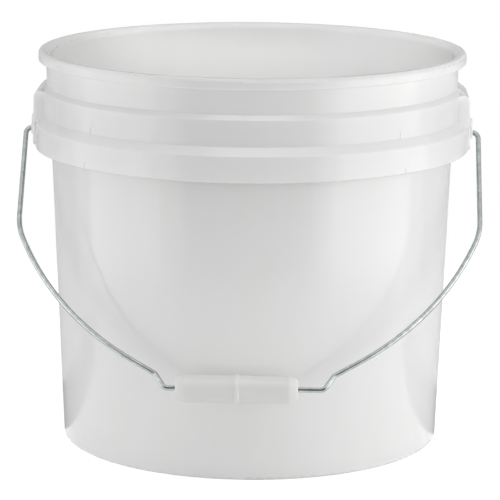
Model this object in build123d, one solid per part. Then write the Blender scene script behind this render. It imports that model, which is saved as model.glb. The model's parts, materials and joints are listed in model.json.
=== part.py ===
from build123d import *
import os
from math import asin, atan, cos, degrees, radians, sin, sqrt, tan

# The pail stands on z = 0 about the Z axis, with its ears on +X and -X. All sizes are in mm.

# Moulded body: wall, floor and rim
pail_height = 277.9  # standing face to the top of the rim
rim_diameter = 301.4  # over the rim bead
rim_width = 8.3  # bead, inside edge to outside edge
rim_round = 2.8  # outer top edge of the bead
lip_round = 5.0  # inner top edge of the bead
bead_height = 7.45  # bead underside to its top
bead_overhang = 5.6  # bead beyond the neck below it
wall_thickness = 2.1
wall_taper = 2.25  # degrees from vertical
foot_height = 4.0  # floor underside above the standing face
foot_width = 5.0  # standing ring
floor_thickness = 2.4
base_round = 3.0  # outer edge of the standing ring
floor_round = 6.0  # inside corner between floor and wall
edge_round = 0.8  # small edges of bead and bands

# Stepped apron below the rim
neck_height = 17.25  # bead underside to the first ledge
ledge1_drop = 3.3
ledge1_step = 2.6  # first band beyond the neck
band_height = 17.8
ledge2_drop = 5.7
ledge2_step = 5.1  # skirt beyond the first band
skirt_height = 17.5
skirt_flare = 0.4  # draft of the skirt over its height
apron_wall = 2.0
gusset_count = 16  # positions round the apron, those at the ears left out
gusset_thickness = 1.6
gusset_lift = 5.0  # gusset foot above the skirt's edge

# Ears
pivot_depth = 57.9  # hinge line below the top of the rim
ear_width = 40.0
ear_flare = 14.0  # each side wall spreads this much on its way in to the band
ear_proud = 0.6  # plate face beyond the skirt, at the hinge line
ear_draft = 2.0  # degrees, the plate leans in at its top
plate_thickness = 2.6
ear_wall = 2.2
ear_drop = 10.4  # plate below the hinge line
ear_rise = 27.0  # plate above the hinge line, up to the sloping cap
ear_corner = 7.0  # lower corners of the plate
ear_edge = 1.1  # rounded outer edges of the plate
cap_slope = 42.0  # degrees below level
cap_round = 5.0  # outer edge of the cap
flare_round = 12.0  # hollow round between ear side and band
rib_spacing = 26.0
rib_thickness = 1.8
rib_lift = 2.5  # rib foot above the plate's lower edge
boss_diameter = 20.0
boss_flat = 3.2  # flat underside of the boss below the hinge line
boss_height = 2.1  # beyond the plate

# Bail of bent wire
wire_diameter = 3.5
hole_clearance = 0.3  # wire in the ear, on the radius
leg_offset = 4.3  # leg centre line beyond the boss
hook_offset = 3.8  # hook centre line behind the plate
hook_length = 9.5
hook_bend = 3.0
leg_bend = 5.5
bail_reach = 211.4  # hinge line to the grip's centre line
knee_angle = 23.4  # degrees, bend out of the leg
knee_bend = 50.0
shoulder_angle = 57.5  # degrees from the leg's direction, at the grip end
shoulder_run = 77.6  # knee corner to shoulder corner
shoulder_bend = 206.0
seat_length = 107.4  # corner to corner
kink_drop = 11.0
kink_run = 6.6
kink_bend = 5.0

# Grip
grip_length = 82.4
grip_diameter = 18.5
grip_end_diameter = 14.0
grip_taper = 6.0  # length of each narrowing end
grip_wall = 1.9
grip_clearance = 0.4  # wire in the grip, on the radius
grip_shift = -5.0  # grip centre along the seat, slid to the left
ring_height = 0.6
ring_width = 3.0
ring_round = 0.25
grip_edge = 1.5
rest_gap = 0.3  # grip ring to the wall when the bail hangs

# Heights and radii that follow from the sizes above
rim_radius = rim_diameter / 2
neck_radius = rim_radius - bead_overhang
band_radius = neck_radius + ledge1_step
skirt_radius = band_radius + ledge2_step
skirt_edge_radius = skirt_radius + skirt_flare
bead_z = pail_height - bead_height
ledge1_top = bead_z - neck_height
ledge1_low = ledge1_top - ledge1_drop
ledge2_top = ledge1_low - band_height
ledge2_low = ledge2_top - ledge2_drop
skirt_z = ledge2_low - skirt_height
floor_z = foot_height + floor_thickness
apron_roof = ledge1_low - apron_wall
band_low = ledge2_top - apron_wall
ear_low = ledge2_low + edge_round
pivot_z = pail_height - pivot_depth
plate_x = skirt_edge_radius + ear_proud
boss_x = plate_x + boss_height
leg_x = boss_x + leg_offset
wire_radius = wire_diameter / 2
hole_radius = wire_radius + hole_clearance


def inside(z):
    """Inner radius of the wall at height z."""
    return rim_radius - rim_width - (pail_height - z) * tan(radians(wall_taper))


def outside(z):
    """Outer radius of the wall at height z."""
    return inside(z) + wall_thickness


def plate_face(z):
    """Outer face of the ear plate at height z."""
    return plate_x - (z - pivot_z) * tan(radians(ear_draft))


def hinge_lean():
    """Degrees from straight down at which the grip ring rests on the wall."""
    slope = tan(radians(wall_taper))
    touch = grip_diameter / 2 + ring_height + rest_gap
    offset = touch + outside(pivot_z) * cos(radians(wall_taper))
    return degrees(asin(offset / bail_reach) - atan(slope))


def revolved(points, radii):
    """Solid of revolution from an outline that starts and ends on the axis."""
    path = FilletPolyline(*points, radius=radii)
    axis = Line(points[-1], points[0])
    return revolve(Plane.XZ * make_face(path.edges() + [axis]), Axis.Z)


def core(offset):
    """Everything inside the wall, out to an offset from its outer face."""
    low = (outside(0) + offset, 0)
    high = (outside(pail_height) + offset, pail_height)
    outline = Polyline((0, 0), low, high, (0, pail_height), close=True)
    return revolve(Plane.XZ * make_face(outline), Axis.Z)


def shell():
    """Wall, floor, rim and stepped apron in one outline."""
    corners = [
        ((outside(0) - foot_width, foot_height), edge_round),
        ((outside(0) - foot_width, 0), edge_round),
        ((outside(0), 0), base_round),
        ((outside(apron_roof), apron_roof), edge_round),
        ((band_radius - apron_wall, apron_roof), edge_round),
        ((band_radius - apron_wall, ledge2_top - apron_wall / 2), edge_round),
        ((skirt_radius - apron_wall, ledge2_low - apron_wall / 2), edge_round),
        ((skirt_edge_radius - apron_wall, skirt_z), edge_round),
        ((skirt_edge_radius, skirt_z), edge_round),
        ((skirt_radius, ledge2_low), edge_round),
        ((band_radius, ledge2_top), edge_round),
        ((band_radius, ledge1_low), edge_round),
        ((neck_radius, ledge1_top), edge_round),
        ((neck_radius, bead_z), edge_round),
        ((rim_radius, bead_z), edge_round),
        ((rim_radius, pail_height), rim_round),
        ((rim_radius - rim_width, pail_height), lip_round),
        ((inside(floor_z), floor_z), floor_round),
    ]
    points = [(0, foot_height)] + [point for point, _ in corners] + [(0, floor_z)]
    return revolved(points, [radius for _, radius in corners])


def gusset(angle):
    """Thin web between wall and apron."""
    foot = skirt_z + gusset_lift
    bite = apron_wall / 2
    outline = Polyline(
        (outside(foot) - bite, foot),
        (skirt_radius - bite, foot),
        (skirt_radius - bite, ledge2_low - bite),
        (band_radius - bite, ledge2_top - bite),
        (band_radius - bite, apron_roof + bite),
        (outside(apron_roof) - bite, apron_roof + bite),
        close=True,
    )
    return Rot(Z=angle) * extrude(Plane.XZ * make_face(outline), gusset_thickness / 2, both=True)


def across(points, width):
    """Outline in the XZ plane carried across a width along Y."""
    return extrude(Plane.XZ * make_face(Polyline(*points, close=True)), width / 2, both=True)


def ear_section(inset, low, width):
    """Ear seen from the side, up to its round-edged cap, drawn in by an inset and carried across a width."""
    top = pivot_z + ear_rise - inset
    edge_x = plate_face(top) - inset
    inner_x = outside(0)
    cap_rise = (edge_x - inner_x) * tan(radians(cap_slope))
    outline = Polyline(
        (inner_x, low),
        (plate_face(low) - inset, low),
        (edge_x, top),
        (inner_x, top + cap_rise),
        close=True,
    )
    cap_edge = make_face(outline).vertices().sort_by(Axis.X)[-2]
    return extrude(Plane.XZ * fillet(cap_edge, cap_round - inset), width / 2, both=True)


def ear_plan(inset):
    """Plan of an ear, flaring from its plate to the band, with its walls drawn in by an inset."""
    half = ear_width / 2 - inset
    foot_y = half + ear_flare
    foot_x = sqrt(band_radius**2 - foot_y**2)
    inner_x = outside(0)
    inner_y = foot_y + (foot_x - inner_x) * ear_flare / (plate_x - foot_x)
    points = [(plate_x, half), (plate_x, -half), (inner_x, -inner_y), (inner_x, inner_y)]
    return make_face(Polyline(*points, close=True)), foot_y


def ear_box():
    """Sloping cap and flared side walls, with hollow rounds where the walls meet the band."""
    wedge, foot_y = ear_plan(0)
    plan = Circle(band_radius) + wedge
    feet = [v for v in plan.vertices() if 0 < v.X < band_radius and abs(abs(v.Y) - foot_y) < wall_thickness]
    plan = fillet(feet, flare_round)
    upper = Pos(Z=band_low) * extrude(plan - Circle(band_radius - apron_wall / 2), ledge1_low - band_low)
    lower = Pos(Z=ear_low) * extrude(plan - Circle(band_radius + apron_wall / 2), ledge2_top - ear_low)
    flare = (upper + lower) & ear_section(0, ear_low, 2 * band_radius)
    corners = wedge.vertices().sort_by(Axis.X)[-2:]
    middle = Pos(Z=ear_low) * extrude(fillet(corners, plate_thickness), neck_height + ear_rise)
    return flare + (middle & ear_section(0, ear_low, ear_width))


def ear_plate():
    """Flat plate with round lower corners and soft outer edges."""
    low = pivot_z - ear_drop
    top = pivot_z + ear_rise
    plate = across(
        [
            (plate_face(low) - plate_thickness, low),
            (plate_face(low), low),
            (plate_face(top), top),
            (plate_face(top) - plate_thickness, top),
        ],
        ear_width,
    )
    plate = fillet(plate.edges().filter_by(Axis.X).group_by(Axis.Z)[0], ear_corner)
    plate = fillet(plate.faces().sort_by(Axis.X)[-1].edges(), ear_edge)
    return plate & ear_section(0, low, ear_width)


def ear_rib(y):
    """Upright rib that ties the plate to the wall."""
    return Pos(Y=y) * ear_section(plate_thickness / 2, pivot_z - ear_drop + rib_lift, rib_thickness)


def hinge_rod(radius, start, end):
    """Round bar along the hinge line."""
    return Pos((start + end) / 2, 0, pivot_z) * Rot(Y=90) * Cylinder(radius, end - start)


def ear_hollow():
    """Space behind an ear's plate, down to the open foot of the skirt."""
    wedge, _ = ear_plan(ear_wall)
    inner_width = ear_width - 2 * ear_wall
    room = Pos(Z=ear_low) * extrude(wedge, apron_roof - apron_wall - ear_low)
    pocket = room & ear_section(plate_thickness, ear_low, 2 * band_radius)
    pocket += ear_section(plate_thickness, ear_low, inner_width)
    foot_low = skirt_z - apron_wall
    foot = across(
        [
            (inside(foot_low), foot_low),
            (plate_face(foot_low) - plate_thickness, foot_low),
            (plate_face(ear_low) - plate_thickness, ear_low),
            (inside(ear_low), ear_low),
        ],
        inner_width,
    )
    return pocket + foot


def ear():
    """One hollow ear on the +X side."""
    back = plate_x - plate_thickness
    boss = hinge_rod(boss_diameter / 2, back, boss_x)
    boss = fillet(boss.edges().sort_by(Axis.X)[-1], edge_round)
    boss_middle = pivot_z - boss_flat + boss_diameter / 2
    boss &= Pos(boss_x, 0, boss_middle) * Box(boss_diameter, boss_diameter, boss_diameter)
    ribs = ear_rib(rib_spacing / 2) + ear_rib(-rib_spacing / 2)
    solid = ear_box() - ear_hollow() + ear_plate() + ribs + boss
    return solid - core(-wall_thickness / 2)


def pail_body():
    """Moulded pail with its apron, gussets and two ears."""
    body = shell()
    pitch = 360 / gusset_count
    for k in range(gusset_count):
        angle = (k + 0.5) * pitch
        if abs(sin(radians(angle))) * outside(ledge2_low) > ear_width:
            body += gusset(angle)
    hollow = ear_hollow() - core(0)
    one_ear = ear()
    hole = hinge_rod(hole_radius, outside(pivot_z) + wall_thickness, leg_x)
    for turn in (0, 180):
        body = body - Rot(Z=turn) * hollow + Rot(Z=turn) * one_ear - Rot(Z=turn) * hole
    return body


def bail_frame():
    """Plane frame of the bail at rest: X along the hinge line, Z up the legs."""
    return Pos(Z=pivot_z) * Rot(X=-hinge_lean())


def bail_wire():
    """Round wire: hooked ends in the ears, legs, shoulders, kinks and a straight seat."""
    hook_x = plate_x - plate_thickness - hook_offset
    seat_x = seat_length / 2
    kink_x = seat_x + kink_run
    shoulder_x = leg_x - shoulder_run * sin(radians(knee_angle))
    kink_z = kink_drop - bail_reach
    shoulder_z = kink_z + (shoulder_x - kink_x) / tan(radians(shoulder_angle))
    knee_z = shoulder_z + shoulder_run * cos(radians(knee_angle))
    half = [
        ((hook_x, 0), hook_bend),
        ((leg_x, 0), leg_bend),
        ((leg_x, knee_z), knee_bend),
        ((shoulder_x, shoulder_z), shoulder_bend),
        ((kink_x, kink_z), kink_bend),
        ((seat_x, -bail_reach), kink_bend),
    ]
    corners = [((-x, z), r) for (x, z), r in half] + [((x, z), r) for (x, z), r in reversed(half)]
    points = [(-hook_x, -hook_length)] + [point for point, _ in corners] + [(hook_x, -hook_length)]
    path = Plane.XZ * FilletPolyline(*points, radius=[radius for _, radius in corners])
    section = Plane(path @ 0, z_dir=path % 0) * Circle(wire_radius)
    return bail_frame() * sweep(section, path)


def grip():
    """Blown tube with a raised middle ring and narrowed ends, loose on the wire."""
    end = grip_length / 2
    shoulder = end - grip_taper
    inner = end - grip_wall
    rim = grip_end_diameter / 2
    outer = grip_diameter / 2
    bore = wire_radius + grip_clearance
    right = [
        ((ring_width / 2, outer + ring_height), ring_round),
        ((ring_width / 2, outer), ring_round),
        ((shoulder, outer), grip_taper / 2),
        ((end, rim), grip_edge),
        ((end, bore), ring_round),
        ((inner, bore), ring_round),
        ((inner, rim - grip_wall), ring_round),
        ((shoulder, outer - grip_wall), grip_taper / 2),
    ]
    left = [((-x, y), r) for (x, y), r in reversed(right)]
    points = [point for point, _ in right + left]
    outline = make_face(FilletPolyline(*points, radius=[radius for _, radius in right + left], close=True))
    return bail_frame() * Pos(grip_shift, 0, -bail_reach) * revolve(Plane.XZ * outline, Axis.X)


os.makedirs("parts", exist_ok=True)
for name, solid in (("pail_body", pail_body()), ("bail_wire", bail_wire()), ("grip", grip())):
    export_step(solid, "parts/" + name + ".step")
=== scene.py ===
import json
from math import atan2, cos, pi, radians, sin, tan

import bmesh
import bpy
from mathutils import Matrix, Vector


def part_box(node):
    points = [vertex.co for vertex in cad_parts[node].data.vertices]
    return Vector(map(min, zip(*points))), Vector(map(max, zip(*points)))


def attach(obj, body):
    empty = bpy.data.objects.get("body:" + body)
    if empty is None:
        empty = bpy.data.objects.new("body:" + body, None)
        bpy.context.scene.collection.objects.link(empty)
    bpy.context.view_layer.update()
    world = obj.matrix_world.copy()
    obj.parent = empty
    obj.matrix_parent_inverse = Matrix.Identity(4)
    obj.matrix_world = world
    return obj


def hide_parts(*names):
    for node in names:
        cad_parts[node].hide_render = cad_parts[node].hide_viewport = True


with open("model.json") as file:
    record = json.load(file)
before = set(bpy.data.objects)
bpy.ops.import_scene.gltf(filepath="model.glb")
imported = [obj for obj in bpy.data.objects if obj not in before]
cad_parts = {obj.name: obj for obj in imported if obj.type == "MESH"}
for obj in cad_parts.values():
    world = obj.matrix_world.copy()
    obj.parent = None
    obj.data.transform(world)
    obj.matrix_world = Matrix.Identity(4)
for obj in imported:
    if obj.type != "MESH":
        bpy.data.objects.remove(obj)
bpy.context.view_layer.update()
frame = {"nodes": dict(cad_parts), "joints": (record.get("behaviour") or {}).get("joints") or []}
scene = bpy.context.scene
MM = 0.001
SMOOTH_ANGLE = 40  # degrees, faces that meet at less than this shade as one
OPEN_BEAM = 180  # degrees, a lamp that shines to all sides in front of it
hinge, grip_middle = [Vector(joint["pos_m"]) for joint in frame["joints"]]


def linear(hex_colour):
    """Linear RGBA from an sRGB hex colour."""
    channels = [int(hex_colour[k:k + 2], 16) / 255 for k in (1, 3, 5)]
    return [c / 12.92 if c <= 0.04045 else ((c + 0.055) / 1.055) ** 2.4 for c in channels] + [1.0]


def add(tree, kind, inputs=None, **settings):
    """One node with its settings; each input takes a value or a link from another node's socket."""
    node = tree.nodes.new(kind)
    for name, value in settings.items():
        setattr(node, name, value)
    for name, value in (inputs or {}).items():
        if isinstance(value, bpy.types.NodeSocket):
            tree.links.new(value, node.inputs[name])
        else:
            node.inputs[name].default_value = value
    return node


def empty_material(name):
    """A new material whose node tree holds nothing yet."""
    material = bpy.data.materials.new(name)
    material.use_nodes = True
    material.node_tree.nodes.clear()
    return material


def noise(tree, place, size, detail):
    """Smooth noise with features of a size in mm."""
    inputs = {"Vector": place, "Scale": 1 / (size * MM), "Detail": detail}
    return add(tree, "ShaderNodeTexNoise", inputs).outputs["Fac"]


def stretched(tree, place, along):
    """Places with their Z scaled, so that a pattern runs long in that direction."""
    return add(tree, "ShaderNodeMapping", {"Vector": place, "Scale": (1, 1, along)}).outputs["Vector"]


def blend(tree, factor, first, second):
    """Colour between two hex colours."""
    inputs = {"Factor": factor, "A": linear(first), "B": linear(second)}
    return add(tree, "ShaderNodeMix", inputs, data_type="RGBA").outputs["Result"]


def spread(tree, value, low, high):
    """A value from 0 to 1 taken to the span from low to high."""
    inputs = {"Value": value, "To Min": low, "To Max": high}
    return add(tree, "ShaderNodeMapRange", inputs).outputs["Result"]


def moulded_polyethylene(name, pale, deep, roughness):
    """Moulded white polyethylene: chalky white with a soft waxy gloss, slow sink-mark waves in its
    reflections, and a fine matt grain from the spark-eroded mould."""
    material = empty_material(name)
    tree = material.node_tree
    gloss_change = 0.03
    place = add(tree, "ShaderNodeTexCoord").outputs["Object"]
    # Pigment streaks about 60 mm long, as the melt flowed up from the gate in the floor.
    streaks = noise(tree, stretched(tree, place, 0.25), 15, 3.0)
    # Grain of 0.15 mm on the real wall, drawn at 0.9 mm so that it shows at this distance.
    grain = noise(tree, place, 0.9, 2.0)
    waves = noise(tree, place, 45, 1.0)
    sunken = add(tree, "ShaderNodeBump", {"Height": waves, "Strength": 0.25, "Distance": 1.2 * MM})
    grained = add(
        tree, "ShaderNodeBump",
        {"Height": grain, "Strength": 0.12, "Distance": 0.05 * MM, "Normal": sunken.outputs["Normal"]},
    )
    shader = add(
        tree, "ShaderNodeBsdfPrincipled",
        {
            "Base Color": blend(tree, streaks, pale, deep),
            "Roughness": spread(tree, grain, roughness - gloss_change, roughness + gloss_change),
            "IOR": 1.54,
            "Subsurface Weight": 1.0,
            "Subsurface Radius": (1, 1, 1),
            "Subsurface Scale": 2 * MM,
            "Normal": grained.outputs["Normal"],
        },
    )
    add(tree, "ShaderNodeOutputMaterial", {"Surface": shader.outputs["BSDF"]})
    return material


def galvanised_wire():
    """Drawn steel wire with a bright zinc coat: a streak of light between dark edges, dulled by cloudy zinc
    and by the drawing die's fine lines along the wire."""
    material = empty_material("galvanised_drawn_steel_wire")
    tree = material.node_tree
    place = add(tree, "ShaderNodeAttribute", attribute_name="lay").outputs["Vector"]
    clouds = noise(tree, place, 3, 4.0)
    # Die lines 0.05 mm wide on real wire, drawn at 0.3 mm so that they show.
    lines = noise(tree, stretched(tree, place, 0.02), 0.3, 2.0)
    lined = add(tree, "ShaderNodeBump", {"Height": lines, "Strength": 0.12, "Distance": 0.03 * MM})
    shader = add(
        tree, "ShaderNodeBsdfPrincipled",
        {
            "Base Color": blend(tree, clouds, "#888E8F", "#CFD3D3"),
            "Metallic": 1.0,
            "Roughness": spread(tree, clouds, 0.12, 0.22),
            "Normal": lined.outputs["Normal"],
        },
    )
    add(tree, "ShaderNodeOutputMaterial", {"Surface": shader.outputs["BSDF"]})
    return material


def corner_mesh(name, corners, edges, to_place):
    """Runs between corner points given in mm, each corner with its own bend, put in place by a matrix."""
    mesh = bpy.data.meshes.new(name)
    mesh.from_pydata([to_place @ (Vector((*point, 0)) * MM) for point, _ in corners], edges, [])
    bends = mesh.attributes.new("bend", "FLOAT", "POINT")
    bends.data.foreach_set("value", [bend * MM for _, bend in corners])
    return mesh


def closed_outline(name, corners):
    """Corner mesh whose last corner joins its first."""
    edges = [(k, (k + 1) % len(corners)) for k in range(len(corners))]
    return corner_mesh(name, corners, edges, Matrix())


def new_tree(name, inputs):
    """An empty tree with named inputs and one geometry output; gives the tree and its inputs' sockets."""
    tree = bpy.data.node_groups.new(name, "GeometryNodeTree")
    for label, kind in inputs:
        tree.interface.new_socket(label, in_out="INPUT", socket_type="NodeSocket" + kind)
    tree.interface.new_socket("Piece", in_out="OUTPUT", socket_type="NodeSocketGeometry")
    return tree, add(tree, "NodeGroupInput").outputs


def read(tree, name, kind):
    """Values of a named attribute."""
    return add(tree, "GeometryNodeInputNamedAttribute", {"Name": name}, data_type=kind).outputs["Attribute"]


def store(tree, geometry, name, value, kind):
    """Geometry that keeps values in a named attribute."""
    inputs = {"Geometry": geometry, "Name": name, "Value": value}
    return add(tree, "GeometryNodeStoreNamedAttribute", inputs, data_type=kind).outputs["Geometry"]


def ring_curve(tree, sides, radius):
    """Round curve with a number of sides."""
    inputs = {"Resolution": sides, "Radius": radius}
    return add(tree, "GeometryNodeCurvePrimitiveCircle", inputs).outputs["Curve"]


def swept(tree, path, section, caps):
    """Skin of a section drawn along a path, with or without end faces."""
    inputs = {"Curve": path, "Profile Curve": section, "Fill Caps": caps}
    return add(tree, "GeometryNodeCurveToMesh", inputs).outputs["Mesh"]


def rounded_runs(tree, runs, steps):
    """Curve along a corner mesh, with every corner rounded by its bend."""
    path = add(tree, "GeometryNodeMeshToCurve", {"Mesh": runs}).outputs["Curve"]
    inputs = {"Curve": path, "Count": steps, "Radius": read(tree, "bend", "FLOAT"), "Limit Radius": True}
    return add(tree, "GeometryNodeFilletCurve", inputs, mode="POLY").outputs["Curve"]


def close_tree(tree, geometry, finish):
    """Ends a tree: real geometry with its material."""
    real = add(tree, "GeometryNodeRealizeInstances", {"Geometry": geometry}).outputs["Geometry"]
    done = add(tree, "GeometryNodeSetMaterial", {"Geometry": real, "Material": finish}).outputs["Geometry"]
    add(tree, "NodeGroupOutput", {"Piece": done})


def bent_wire():
    """Tree for a round wire along rounded runs; "lay" holds the place across and along the wire."""
    tree, given = new_tree("bent_wire", [
        ("Runs", "Geometry"), ("Wire radius", "Float"), ("Finish", "Material"),
    ])
    length = add(tree, "GeometryNodeSplineParameter").outputs["Length"]
    path = store(tree, rounded_runs(tree, given["Runs"], 20), "along", length, "FLOAT")
    across = add(tree, "GeometryNodeInputPosition").outputs["Position"]
    section = store(tree, ring_curve(tree, 24, given["Wire radius"]), "ring", across, "FLOAT_VECTOR")
    tube = swept(tree, path, section, True)
    along = add(tree, "ShaderNodeCombineXYZ", {"Z": read(tree, "along", "FLOAT")}).outputs["Vector"]
    ring = read(tree, "ring", "FLOAT_VECTOR")
    lay = add(tree, "ShaderNodeVectorMath", {0: along, 1: ring}, operation="ADD").outputs["Vector"]
    close_tree(tree, store(tree, tube, "lay", lay, "FLOAT_VECTOR"), given["Finish"])
    return tree


def turned_outline():
    """Tree that turns a closed outline about an axis, with a fine mould seam along two sides."""
    tree, given = new_tree("turned_outline", [
        ("Outline", "Geometry"), ("Start radius", "Float"), ("Columns", "Int"), ("Seam height", "Float"),
        ("Turn", "Rotation"), ("Middle", "Vector"), ("Finish", "Material"),
    ])
    outline = rounded_runs(tree, given["Outline"], 6)
    half = add(tree, "FunctionNodeIntegerMath", {0: given["Columns"], 1: 2}, operation="DIVIDE").outputs[0]
    column = add(tree, "GeometryNodeSplineParameter").outputs["Index"]
    column = add(tree, "FunctionNodeIntegerMath", {0: column, 1: half}, operation="MODULO").outputs[0]
    on_seam = add(
        tree, "FunctionNodeCompare", {"A": column, "B": 0}, data_type="INT", operation="EQUAL"
    ).outputs[0]
    circle = ring_curve(tree, given["Columns"], given["Start radius"])
    skin = swept(tree, store(tree, circle, "seam", on_seam, "BOOLEAN"), outline, False)
    normal = add(tree, "GeometryNodeInputNormal").outputs["Normal"]
    proud = add(
        tree, "ShaderNodeVectorMath", {0: normal, "Scale": given["Seam height"]}, operation="SCALE"
    ).outputs["Vector"]
    seamed = add(
        tree, "GeometryNodeSetPosition",
        {"Geometry": skin, "Selection": read(tree, "seam", "BOOLEAN"), "Offset": proud},
    ).outputs["Geometry"]
    turned = add(
        tree, "GeometryNodeTransform",
        {"Geometry": seamed, "Translation": given["Middle"], "Rotation": given["Turn"]},
    ).outputs["Geometry"]
    close_tree(tree, turned, given["Finish"])
    return tree


def split_lines():
    """Tree for hairlines that the mould's side pieces leave, repeated round the apron."""
    tree, given = new_tree("split_lines", [
        ("Runs", "Geometry"), ("Line radius", "Float"), ("Count", "Int"), ("First angle", "Float"),
        ("Finish", "Material"),
    ])
    path = rounded_runs(tree, given["Runs"], 6)
    line = swept(tree, path, ring_curve(tree, 8, given["Line radius"]), True)
    places = add(tree, "GeometryNodeMeshLine", {"Count": given["Count"], "Offset": (0, 0, 0)})
    step = add(tree, "ShaderNodeMath", {0: 2 * pi, 1: given["Count"]}, operation="DIVIDE").outputs[0]
    index = add(tree, "GeometryNodeInputIndex").outputs["Index"]
    angle = add(
        tree, "ShaderNodeMath", {0: index, 1: step, 2: given["First angle"]}, operation="MULTIPLY_ADD"
    ).outputs[0]
    turn = add(tree, "ShaderNodeCombineXYZ", {"Z": angle}).outputs["Vector"]
    lines = add(
        tree, "GeometryNodeInstanceOnPoints",
        {"Points": places.outputs["Mesh"], "Instance": line, "Rotation": turn},
    )
    close_tree(tree, lines.outputs["Instances"], given["Finish"])
    return tree


def piece_from(tree, name, base, values, body):
    """Plain mesh object that a tree makes from a base mesh, riding on a body."""
    source = bpy.data.objects.new(name + "_base", base)
    scene.collection.objects.link(source)
    maker = source.modifiers.new("maker", "NODES")
    maker.node_group = tree
    for socket in tree.interface.items_tree:
        if socket.name in values:
            maker[socket.identifier] = values[socket.name]
    depsgraph = bpy.context.evaluated_depsgraph_get()
    mesh = bpy.data.meshes.new_from_object(
        source.evaluated_get(depsgraph), preserve_all_data_layers=True, depsgraph=depsgraph
    )
    source.modifiers.remove(maker)
    bpy.data.objects.remove(source)
    shell = bmesh.new()
    shell.from_mesh(mesh)
    bmesh.ops.recalc_face_normals(shell, faces=shell.faces)
    shell.to_mesh(mesh)
    shell.free()
    mesh.shade_smooth()
    mesh.set_sharp_from_angle(angle=radians(SMOOTH_ANGLE))
    piece = bpy.data.objects.new(name, mesh)
    scene.collection.objects.link(piece)
    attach(piece, body)
    return piece


def bail_of_wire(metal):
    """Bent wire bail: on each side a hook inside the ear, a leg, a sloping shoulder and a kink, with a
    straight seat between them. Sizes are in mm, with x across the pail and z up the leg from the hinge."""
    reach = (hinge - grip_middle).length / MM
    wire_radius = 1.75
    hook_x = 147.4
    hook_length = 9.5
    hook_bend = 3
    leg_x = 160.2
    leg_bend = 5.5
    knee_angle = radians(23.4)
    knee_bend = 50
    shoulder_angle = radians(57.5)
    shoulder_run = 77.6
    shoulder_bend = 206
    seat_x = 53.7
    kink_run = 6.6
    kink_drop = 11
    kink_bend = 5
    kink_x = seat_x + kink_run
    kink_z = kink_drop - reach
    shoulder_x = leg_x - shoulder_run * sin(knee_angle)
    shoulder_z = kink_z + (shoulder_x - kink_x) / tan(shoulder_angle)
    knee_z = shoulder_z + shoulder_run * cos(knee_angle)
    half = [
        ((hook_x, -hook_length), 0),
        ((hook_x, 0), hook_bend),
        ((leg_x, 0), leg_bend),
        ((leg_x, knee_z), knee_bend),
        ((shoulder_x, shoulder_z), shoulder_bend),
        ((kink_x, kink_z), kink_bend),
        ((seat_x, -reach), kink_bend),
    ]
    corners = [((-x, z), bend) for (x, z), bend in half] + half[::-1]
    lean = atan2(hinge.y - grip_middle.y, hinge.z - grip_middle.z)
    to_place = Matrix.Translation(hinge) @ Matrix.Rotation(pi / 2 - lean, 4, "X")
    runs = corner_mesh("bail_runs", corners, [(k, k + 1) for k in range(len(corners) - 1)], to_place)
    values = {"Wire radius": wire_radius * MM, "Finish": metal}
    wire = piece_from(bent_wire(), "bail_of_wire", runs, values, "bail")
    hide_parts("bail_wire")


def grip_on_wire(plastic, turning):
    """Blown tube with a raised middle ring and narrowed ends, loose on the wire. Sizes are in mm: radii,
    and lengths from the grip's middle."""
    end = 41.2
    end_radius = 7
    end_round = 1.5
    shoulder = 35.2
    shoulder_round = 3
    outer = 9.25
    ring = 1.5
    ring_height = 0.6
    bore = 2.15
    wall = 1.9
    small_round = 0.25
    start = 6
    seam_height = 0.12
    right = [
        ((outer + ring_height, ring), small_round),
        ((outer, ring), small_round),
        ((outer, shoulder), shoulder_round),
        ((end_radius, end), end_round),
        ((bore, end), small_round),
        ((bore, end - wall), small_round),
        ((end_radius - wall, end - wall), small_round),
        ((outer - wall, shoulder), shoulder_round),
    ]
    corners = right + [((r, -h), bend) for (r, h), bend in right[::-1]]
    outline = closed_outline("grip_outline", [((r - start, -h), bend) for (r, h), bend in corners])
    low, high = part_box("grip")
    values = {
        "Start radius": start * MM, "Columns": 128, "Seam height": seam_height * MM,
        "Turn": (0, pi / 2, 0), "Middle": (low + high) / 2, "Finish": plastic,
    }
    grip = piece_from(turning, "grip_on_wire", outline, values, "handle")
    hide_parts("grip")


def mould_marks(plastic, turning):
    """What the mould leaves on the pail: short split lines on the apron and the gate's stub under the floor.
    Sizes are in mm: radii, and heights above the standing face, negative in the stub's upturned outline."""
    band_foot = 232.1
    band_radius = 147.7
    band_line = 5
    skirt_foot = 209.4
    skirt_radius = 153.2
    skirt_draft = 0.1
    skirt_line = 4
    line_radius = 0.1
    line_count = 4
    first_line = 44
    ends = [
        ((band_radius, band_foot + band_line), 0),
        ((band_radius, band_foot), 0),
        ((skirt_radius - skirt_draft, skirt_foot + skirt_line), 0),
        ((skirt_radius, skirt_foot), 0),
    ]
    runs = corner_mesh("split_runs", ends, [(0, 1), (2, 3)], Matrix.Rotation(pi / 2, 4, "X"))
    values = {
        "Line radius": line_radius * MM, "Count": line_count, "First angle": radians(first_line),
        "Finish": plastic,
    }
    lines = piece_from(split_lines(), "mould_split_lines", runs, values, "pail")
    start = 1
    stub = [
        ((0.6, -4.2), 0.2),
        ((5, -4.2), 0.3),
        ((4.6, -3.4), 0.4),
        ((2.2, -3.2), 0.6),
        ((1.8, -2), 0.4),
        ((0.6, -1.8), 0.2),
    ]
    outline = closed_outline("gate_outline", [((r - start, h), bend) for (r, h), bend in stub])
    values = {
        "Start radius": start * MM, "Columns": 48, "Seam height": 0.0,
        "Turn": (0, 0, 0), "Middle": (0, 0, 0), "Finish": plastic,
    }
    gate = piece_from(turning, "gate_stub", outline, values, "pail")


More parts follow.
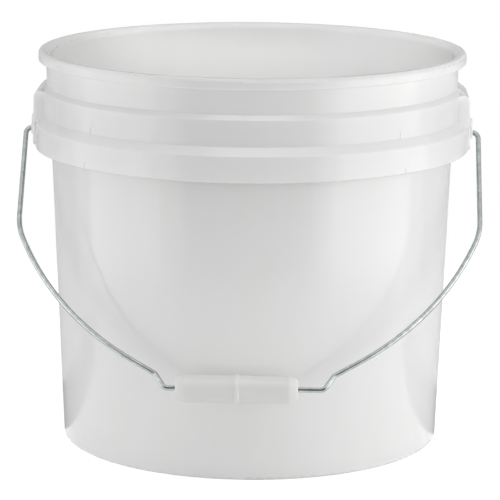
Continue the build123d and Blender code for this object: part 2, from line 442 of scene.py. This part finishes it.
def card(name, width, height, place, facing):
    """A flat upright or lying sheet of the studio, in place with its face towards a direction."""
    mesh = bpy.data.meshes.new(name)
    turn = Vector(facing).to_track_quat("Z", "Y").to_matrix()
    corners = [(x * width / 2, y * height / 2, 0) for x, y in ((-1, -1), (1, -1), (1, 1), (-1, 1))]
    mesh.from_pydata([Vector(place) + turn @ Vector(c) for c in corners], [], [(0, 1, 2, 3)])
    sheet = bpy.data.objects.new(name, mesh)
    scene.collection.objects.link(sheet)
    return sheet


def softbox(name, place, target, width, height, level, beam=OPEN_BEAM):
    """Rectangular soft lamp of an even brightness level, turned to a target; a narrow beam leaves no
    glint."""
    lamp = bpy.data.lights.new(name, "AREA")
    lamp.shape = "RECTANGLE"
    lamp.size = width
    lamp.size_y = height
    lamp.energy = level * pi * width * height
    lamp.spread = radians(beam)
    holder = bpy.data.objects.new(name, lamp)
    holder.visible_glossy = beam == OPEN_BEAM
    aim = Vector(target) - Vector(place)
    holder.matrix_world = Matrix.Translation(place) @ aim.to_track_quat("-Z", "Y").to_matrix().to_4x4()
    scene.collection.objects.link(holder)


def round_the_pail(start, end, reach):
    """Middle and width of an upright sheet between two angles, counted from the lens round the pail."""
    ends = [Vector((reach * sin(radians(a)), -reach * cos(radians(a)), 0)) for a in (start, end)]
    return (ends[0] + ends[1]) / 2, (ends[1] - ends[0]).length


def seen_light(tree):
    """1 for light that the lens sees straight, in a reflection or through a clear body, and 0 for others."""
    path = add(tree, "ShaderNodeLightPath").outputs
    seen = path["Is Camera Ray"]
    for kind in ("Is Glossy Ray", "Is Transmission Ray"):
        seen = add(tree, "ShaderNodeMath", {0: seen, 1: path[kind]}, operation="ADD").outputs[0]
    return seen


def white_paper():
    """Seamless white paper: pure white to the lens and in reflections, with the pail's soft shadow on it."""
    material = empty_material("seamless_white_paper")
    tree = material.node_tree
    paper = add(tree, "ShaderNodeBsdfDiffuse", {"Color": linear("#FAFAFA")})
    shaded = add(tree, "ShaderNodeBsdfDiffuse", {"Color": linear("#B4B4B4")})
    glow = add(tree, "ShaderNodeEmission", {"Strength": 0.8})
    white = add(tree, "ShaderNodeAddShader", {0: shaded.outputs[0], 1: glow.outputs[0]})
    both = add(
        tree, "ShaderNodeMixShader", {0: seen_light(tree), 1: paper.outputs[0], 2: white.outputs[0]}
    )
    add(tree, "ShaderNodeOutputMaterial", {"Surface": both.outputs[0]})
    return material


def studio_card(name, grey):
    """Plain card that only reflections see, of one even brightness."""
    material = empty_material(name)
    tree = material.node_tree
    sheet = add(tree, "ShaderNodeEmission", {"Color": linear(grey), "Strength": 1.0})
    add(tree, "ShaderNodeOutputMaterial", {"Surface": sheet.outputs[0]})
    return material


def table():
    """Round white table that the pail stands on."""
    mesh = bpy.data.meshes.new("floor")
    disc = bmesh.new()
    bmesh.ops.create_circle(disc, cap_ends=True, segments=128, radius=0.6)
    disc.to_mesh(mesh)
    disc.free()
    floor = bpy.data.objects.new("floor", mesh)
    scene.collection.objects.link(floor)
    floor.data.materials.append(white_paper())


def reflected_cards():
    """Cards that shape the plastic's reflections: an unlit room behind the lens, greys beside and behind the
    pail and on the table next to it, and a bright ceiling. Sizes and places are in metres."""
    front, front_width = round_the_pail(-37, 36, 2.6)
    front_middle = front + Vector((0, 0, 0.75))
    sheets = [
        ("unlit_front", front_width, 7, front_middle, -front, "#404448"),
        ("grey_left", 0.26, 0.24, (-0.25, 0.1, 0.12), (0.3, -1, 0), "#C8C8C8"),
        ("grey_right", 0.26, 0.24, (0.25, 0.1, 0.12), (-0.3, -1, 0), "#C8C8C8"),
        ("grey_floor_left", 0.36, 0.36, (-0.28, 0.17, 0.0008), (0, 0, 1), "#8E8E8E"),
        ("grey_floor_right", 0.36, 0.36, (0.28, 0.17, 0.0008), (0, 0, 1), "#8E8E8E"),
        ("grey_back", 4.0, 1.4, (0, 1.2, 0.75), (0, -1, 0), "#BCBCBC"),
        ("bright_top", 2.2, 0.9, (0, -0.75, 1.88), (0, 0, -1), "#FFFFFF"),
    ]
    for name, width, height, place, facing, grey in sheets:
        sheet = card(name, width, height, place, facing)
        sheet.data.materials.append(studio_card(name, grey))
        sheet.visible_camera = False
        sheet.visible_diffuse = False
        sheet.visible_shadow = False


def lamps():
    """Two tall soft panels at the sides, a softbox overhead, a narrow lamp into the pail, and a low lamp on
    each side of the foot. Angles are in degrees, sizes and places in metres."""
    panel_reach = 1.4
    for name, start, end, low, high, level in (
        ("right_softbox", 45, 100, -0.6, 0.75, 1.36),
        ("left_softbox", -50, -100, -0.6, 0.5, 1.01),
    ):
        middle, width = round_the_pail(start, end, panel_reach)
        middle.z = (low + high) / 2
        softbox(name, middle, (0, 0, middle.z), width, high - low, level)
    softbox("overhead_softbox", (0, -0.65, 1.9), (0, 0, 0.15), 1.0, 0.7, 1.85)
    softbox("inside_lamp", (0.02, -1.5, 0.72), (0.03, 0.13, 0.25), 0.3, 0.05, 0.36, 2.5)
    softbox("low_left_lamp", (-0.74, 0.0, 0.05), (-0.12, 0.0, 0.05), 0.5, 0.06, 0.16, 24)
    softbox("low_right_lamp", (0.74, 0.0, 0.05), (0.12, 0.0, 0.05), 0.5, 0.06, 0.18, 24)


def white_room():
    """Room that is white where the lens sees it and gives about half of that as light."""
    world = bpy.data.worlds.new("white_room")
    world.use_nodes = True
    tree = world.node_tree
    tree.nodes.clear()
    room = add(tree, "ShaderNodeBackground", {"Color": (1, 1, 1, 1), "Strength": 0.505})
    white = add(tree, "ShaderNodeBackground", {"Color": (1, 1, 1, 1), "Strength": 1.0})
    both = add(
        tree, "ShaderNodeMixShader", {0: seen_light(tree), 1: room.outputs[0], 2: white.outputs[0]}
    )
    add(tree, "ShaderNodeOutputWorld", {"Surface": both.outputs[0]})
    scene.world = world
    scene.view_settings.view_transform = "Standard"


def photo_camera():
    """Long lens in front of the pail and a little above it; the pail stands turned to its left. Angles are
    in degrees, places in metres, and the lens and its sensor in mm."""
    pail_turn = 1.5
    pitch = 11.64
    pan = 0.0185
    roll = 0.463
    away = 2.0512
    above = 0.55527
    lens = bpy.data.cameras.new("photo_camera")
    lens.sensor_width = 36
    lens.lens = 210.76
    lens.clip_end = 50
    holder = bpy.data.objects.new("photo_camera", lens)
    place = Matrix.Rotation(radians(pail_turn), 4, "Z") @ Matrix.Translation((0, -away, above))
    for angle, axis in ((pan, "Z"), (90 - pitch, "X"), (roll, "Z")):
        place = place @ Matrix.Rotation(radians(angle), 4, axis)
    holder.matrix_world = place
    scene.collection.objects.link(holder)
    scene.camera = holder


photo_camera()
table()
reflected_cards()
lamps()
white_room()
body_plastic = moulded_polyethylene("injection_moulded_white_polyethylene", "#F9F9F7", "#F6F6F4", 0.15)
grip_plastic = moulded_polyethylene("blow_moulded_white_polyethylene", "#F9F9F5", "#F5F5F1", 0.4)
turning = turned_outline()
bail_of_wire(galvanised_wire())
grip_on_wire(grip_plastic, turning)
mould_marks(body_plastic, turning)
for surface in frame["nodes"]["pail_body"].material_slots:
    surface.material = body_plastic
